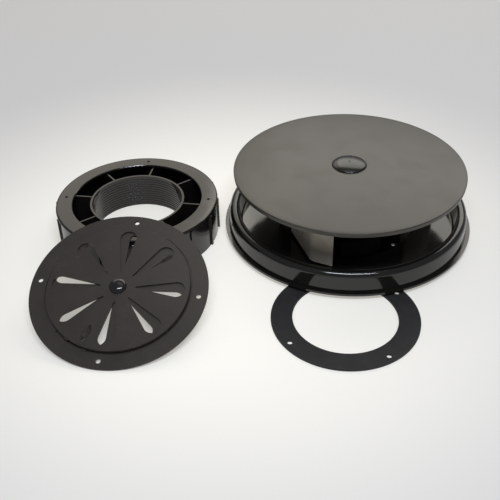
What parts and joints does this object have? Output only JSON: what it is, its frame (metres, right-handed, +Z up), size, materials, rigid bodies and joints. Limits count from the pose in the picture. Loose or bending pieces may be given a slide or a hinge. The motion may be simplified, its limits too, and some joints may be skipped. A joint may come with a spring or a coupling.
{
  "type": "rotary roof ventilator kit",
  "caption": "Low-profile wind-driven roof ventilator kit: base with free-spinning vaned rotor disc, flat gasket, ribbed ceiling collar and round grille with a turning petal shutter.",
  "frame": {"origin": "on the ventilator's axis, at its roof mounting face, at the centre of the roof screw circle", "axes": "+Z up along the rotor's axis, -Y towards the front of the laid-out kit, -X towards the collar and the grille"},
  "size_m": [0.4476, 0.3597, 0.0783],
  "materials": {
    "base_gloss_black": "moulded ABS, high gloss",
    "disc_satin_black": "moulded ABS, satin",
    "cap_black": "moulded ABS, fine grain",
    "vane_satin_black": "moulded ABS, satin",
    "inner_black": "moulded glass-filled nylon",
    "bearing_steel": "ground and polished",
    "zinc_steel": "zinc plated",
    "gasket_black": "matt closed-cell sheet",
    "collar_gloss_black": "moulded ABS, gloss",
    "grille_satin_black": "moulded ABS, satin",
    "knob_gloss_black": "moulded ABS, gloss"
  },
  "bodies": {
    "ventilator": {"base_housing": "base_gloss_black", "bearing_bridge": "inner_black", "bridge_screws": "zinc_steel", "upper_outer_race": "bearing_steel", "lower_outer_race": "bearing_steel", "upper_balls": "bearing_steel", "lower_balls": "bearing_steel", "bearing_shields": "bearing_steel", "outer_spacer": "zinc_steel", "boss_circlip": "zinc_steel"},
    "rotor": {"rotor_disc": "disc_satin_black", "centre_cap": "cap_black", "vane_1": "vane_satin_black", "vane_2": "vane_satin_black", "vane_3": "vane_satin_black", "rotor_hub": "inner_black", "hub_screws": "zinc_steel", "spindle": "bearing_steel", "spindle_nut": "zinc_steel", "spindle_washer": "zinc_steel", "upper_inner_race": "bearing_steel", "lower_inner_race": "bearing_steel", "inner_spacer": "zinc_steel", "impeller": "inner_black", "impeller_nut": "zinc_steel", "impeller_washer": "zinc_steel"},
    "gasket": {"gasket": "gasket_black"},
    "collar": {"collar": "collar_gloss_black"},
    "grille": {"grille_frame": "grille_satin_black"},
    "shutter": {"shutter_disc": "grille_satin_black", "pivot_knob": "knob_gloss_black", "spring_washer": "bearing_steel", "push_nut": "zinc_steel"}
  },
  "joints": [
    {"name": "rotor_spin", "type": "hinge", "parent": "ventilator", "child": "rotor", "pos_m": [0, 0, 0], "axis": [0, 0, 1], "continuous": true},
    {"name": "gasket_slide", "type": "slide", "parent": "ventilator", "child": "gasket", "axis": [0, -1, 0], "range_m": [0, 0.12]},
    {"name": "collar_lift", "type": "slide", "parent": "ventilator", "child": "collar", "axis": [0, 0, 1], "range_m": [0, 0.15]},
    {"name": "grille_lift", "type": "slide", "parent": "collar", "child": "grille", "axis": [-0.0357, -0.3183, 0.9473], "range_m": [0, 0.12]},
    {"name": "shutter_turn", "type": "hinge", "parent": "grille", "child": "shutter", "pos_m": [-0.23067, -0.13952, 0.02912], "axis": [-0.0357, -0.3183, 0.9473], "range_deg": [-9.5, 13]}
  ]
}
